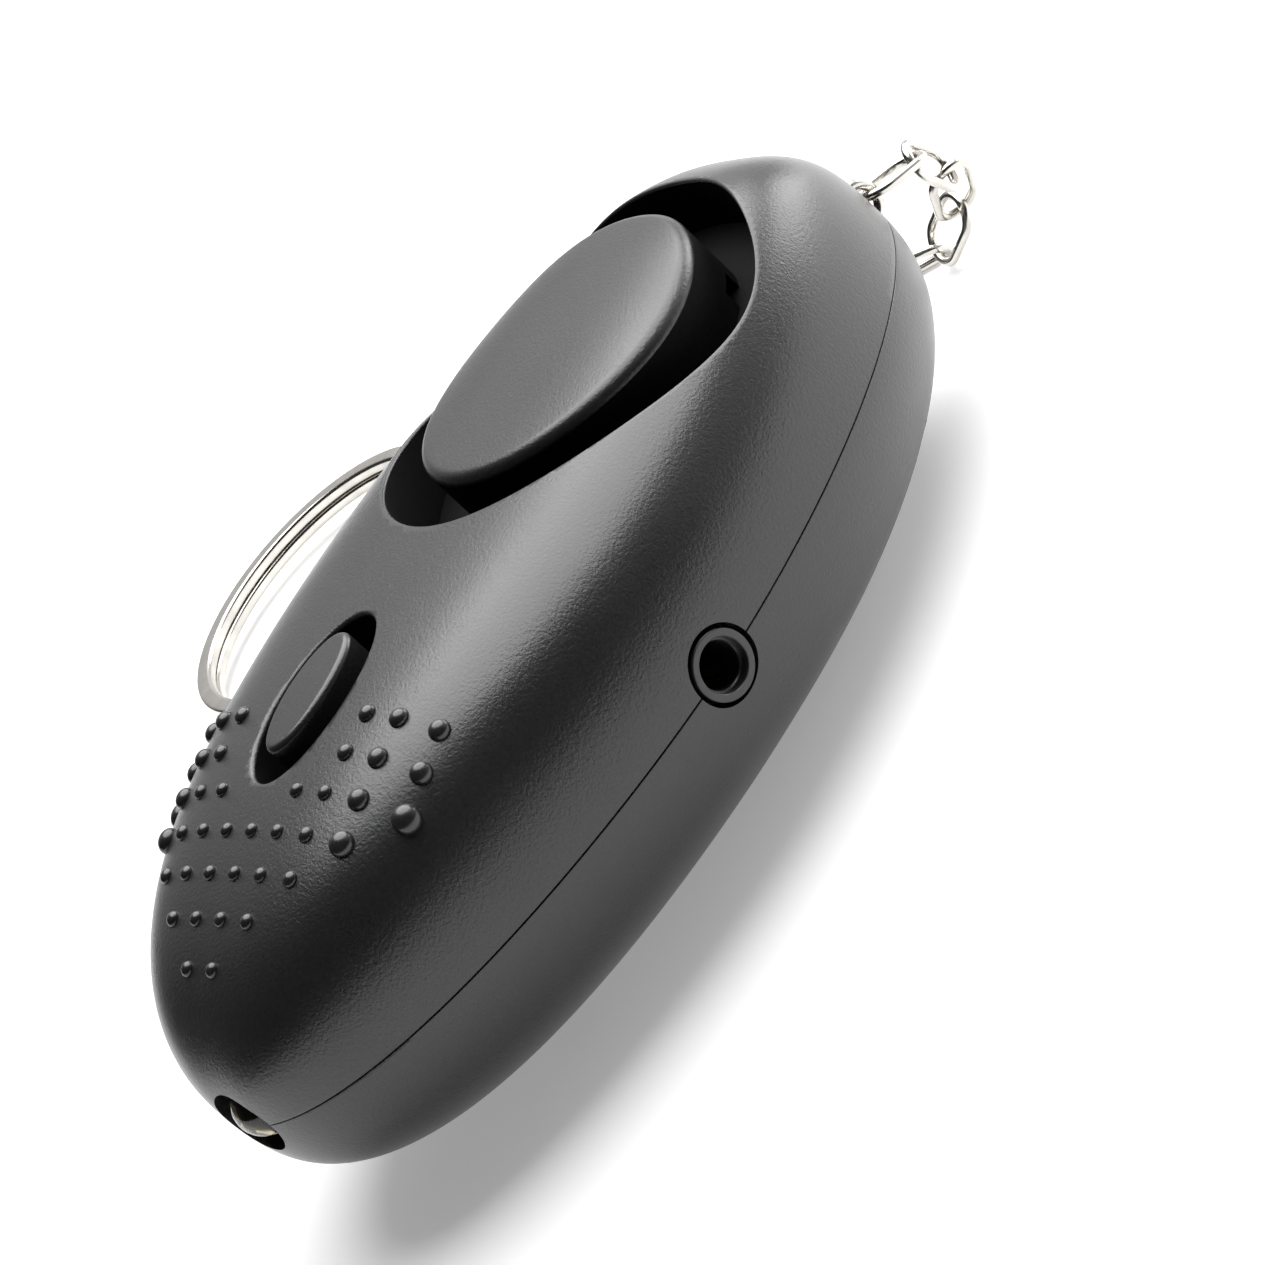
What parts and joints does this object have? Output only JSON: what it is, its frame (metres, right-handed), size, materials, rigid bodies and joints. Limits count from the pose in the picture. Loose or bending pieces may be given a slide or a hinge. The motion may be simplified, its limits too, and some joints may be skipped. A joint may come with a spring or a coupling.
{
  "type": "personal safety alarm",
  "caption": "Egg-shaped hand-held siren with a sprung light button, a lamp, a pull-pin socket and a keyring chain that carries the pin",
  "frame": {"origin": "middle of the flat on which the alarm lies, under the middle of its length", "axes": "+Z out of the alarm's front, +Y towards the keyring end, +X towards the pin socket"},
  "size_m": [0.1128, 0.0995, 0.0304],
  "materials": {
    "shell_plastic": "satin moulded ABS",
    "cap_plastic": "satin moulded ABS",
    "button_plastic": "smooth moulded ABS",
    "socket_plastic": "moulded nylon",
    "steel": "plain steel",
    "nickel": "nickel plated steel",
    "brass": "rolled brass",
    "ceramic": "fired piezo ceramic",
    "foam": "closed-cell foam",
    "board": "solder mask on glass fibre",
    "component": "moulded epoxy",
    "can": "drawn aluminium can",
    "clear": "clear epoxy",
    "lead_wire": "insulated wire",
    "pin_plastic": "moulded nylon"
  },
  "bodies": {
    "alarm_body": {"front_shell": "shell_plastic", "rear_shell": "shell_plastic", "battery_door": "shell_plastic", "door_screw": "steel", "shell_screws": "steel", "board_screws": "steel", "siren_cap": "cap_plastic", "piezo_gasket": "foam", "piezo_plate": "brass", "piezo_ceramic": "ceramic", "piezo_clamp_ring": "cap_plastic", "piezo_leads": "lead_wire", "button_switch": "component", "pin_socket": "socket_plastic", "socket_contacts": "brass", "led_lens": "clear", "led_leads": "steel", "circuit_board": "board", "step_up_coil": "component", "driver_chip": "component", "transistor": "component", "chip_resistors": "component", "capacitors": "can", "button_cells": "nickel", "battery_plate": "nickel", "battery_spring": "nickel", "battery_leads": "lead_wire", "eye_pin": "steel"},
    "light_button": {"light_button": "button_plastic", "switch_plunger": "component"},
    "chain_eye": {"chain_eye": "nickel"},
    "chain_link_01": {"chain_link_01": "nickel"},
    "chain_link_02": {"chain_link_02": "nickel"},
    "chain_link_03": {"chain_link_03": "nickel"},
    "chain_link_04": {"chain_link_04": "nickel"},
    "chain_link_05": {"chain_link_05": "nickel"},
    "chain_link_06": {"chain_link_06": "nickel"},
    "chain_link_07": {"chain_link_07": "nickel"},
    "chain_link_08": {"chain_link_08": "nickel"},
    "chain_link_09": {"chain_link_09": "nickel"},
    "chain_link_10": {"chain_link_10": "nickel"},
    "chain_link_11": {"chain_link_11": "nickel"},
    "chain_link_12": {"chain_link_12": "nickel"},
    "chain_link_13": {"chain_link_13": "nickel"},
    "chain_link_14": {"chain_link_14": "nickel"},
    "chain_link_15": {"chain_link_15": "nickel"},
    "split_ring": {"split_ring": "nickel"},
    "pull_pin": {"pull_pin": "pin_plastic"}
  },
  "joints": [
    {"name": "button_press", "type": "slide", "parent": "alarm_body", "child": "light_button", "axis": [0, 0, -1], "range_m": [0, 0.0003], "stiffness_N_per_m": 800},
    {"name": "eye_swing", "type": "hinge", "parent": "alarm_body", "child": "chain_eye", "pos_m": [0, 0.04175, 0.0144], "axis": [1, 0, 0], "range_deg": [-5, 5]},
    {"name": "chain_link_01_swing", "type": "hinge", "parent": "chain_eye", "child": "chain_link_01", "pos_m": [0, 0.04528, 0.0144], "axis": [0.9962, 0.0872, 0], "range_deg": [0, 8]},
    {"name": "chain_link_02_swing", "type": "hinge", "parent": "chain_link_01", "child": "chain_link_02", "pos_m": [-0.00044, 0.05034, 0.01275], "axis": [0.7547, 0.6561, 0], "range_deg": [0, 8]},
    {"name": "chain_link_03_swing", "type": "hinge", "parent": "chain_link_02", "child": "chain_link_03", "pos_m": [-0.0026, 0.05283, 0.00853], "axis": [0.0872, 0.9962, 0], "range_deg": [0, 8]},
    {"name": "chain_link_04_swing", "type": "hinge", "parent": "chain_link_03", "child": "chain_link_04", "pos_m": [-0.00603, 0.05313, 0.00443], "axis": [-0.3907, 0.9205, 0], "range_deg": [0, 8]},
    {"name": "chain_link_05_swing", "type": "hinge", "parent": "chain_link_04", "child": "chain_link_05", "pos_m": [-0.01025, 0.05134, 0.00167], "axis": [0, 0, -1], "range_deg": [-12, 12]},
    {"name": "chain_link_06_swing", "type": "hinge", "parent": "chain_link_05", "child": "chain_link_06", "pos_m": [-0.01502, 0.04891, 0.00167], "axis": [0, 0, 1], "range_deg": [-12, 12]},
    {"name": "chain_link_07_swing", "type": "hinge", "parent": "chain_link_06", "child": "chain_link_07", "pos_m": [-0.01978, 0.04648, 0.00167], "axis": [0, 0, -1], "range_deg": [-12, 12]},
    {"name": "chain_link_08_swing", "type": "hinge", "parent": "chain_link_07", "child": "chain_link_08", "pos_m": [-0.02455, 0.04405, 0.00167], "axis": [0, 0, 1], "range_deg": [-12, 12]},
    {"name": "chain_link_09_swing", "type": "hinge", "parent": "chain_link_08", "child": "chain_link_09", "pos_m": [-0.02932, 0.04162, 0.00167], "axis": [0, 0, -1], "range_deg": [-12, 12]},
    {"name": "chain_link_10_swing", "type": "hinge", "parent": "chain_link_09", "child": "chain_link_10", "pos_m": [-0.03408, 0.03919, 0.00167], "axis": [0, 0, 1], "range_deg": [-12, 12]},
    {"name": "chain_link_11_swing", "type": "hinge", "parent": "chain_link_10", "child": "chain_link_11", "pos_m": [-0.03885, 0.03676, 0.00167], "axis": [0, 0, -1], "range_deg": [-12, 12]},
    {"name": "chain_link_12_swing", "type": "hinge", "parent": "chain_link_11", "child": "chain_link_12", "pos_m": [-0.04362, 0.03434, 0.00167], "axis": [0, 0, 1], "range_deg": [-12, 12]},
    {"name": "chain_link_13_swing", "type": "hinge", "parent": "chain_link_12", "child": "chain_link_13", "pos_m": [-0.04838, 0.03191, 0.00167], "axis": [0, 0, -1], "range_deg": [-12, 12]},
    {"name": "chain_link_14_swing", "type": "hinge", "parent": "chain_link_13", "child": "chain_link_14", "pos_m": [-0.05315, 0.02948, 0.00167], "axis": [0, 0, 1], "range_deg": [-12, 12]},
    {"name": "chain_link_15_swing", "type": "hinge", "parent": "chain_link_14", "child": "chain_link_15", "pos_m": [-0.0579, 0.02706, 0.0022], "axis": [0, 0, -1], "range_deg": [-12, 12]},
    {"name": "split_ring_swing", "type": "hinge", "parent": "chain_link_15", "child": "split_ring", "pos_m": [-0.06139, 0.02528, 0.0022], "axis": [0, 0, 1], "range_deg": [-20, 20]},
    {"name": "pull_pin_travel", "type": "hinge", "parent": "split_ring", "child": "pull_pin", "pos_m": [-0.07404, 0.01883, 0.0022], "axis": [0, 0, 1], "range_deg": [-35, 40]}
  ]
}
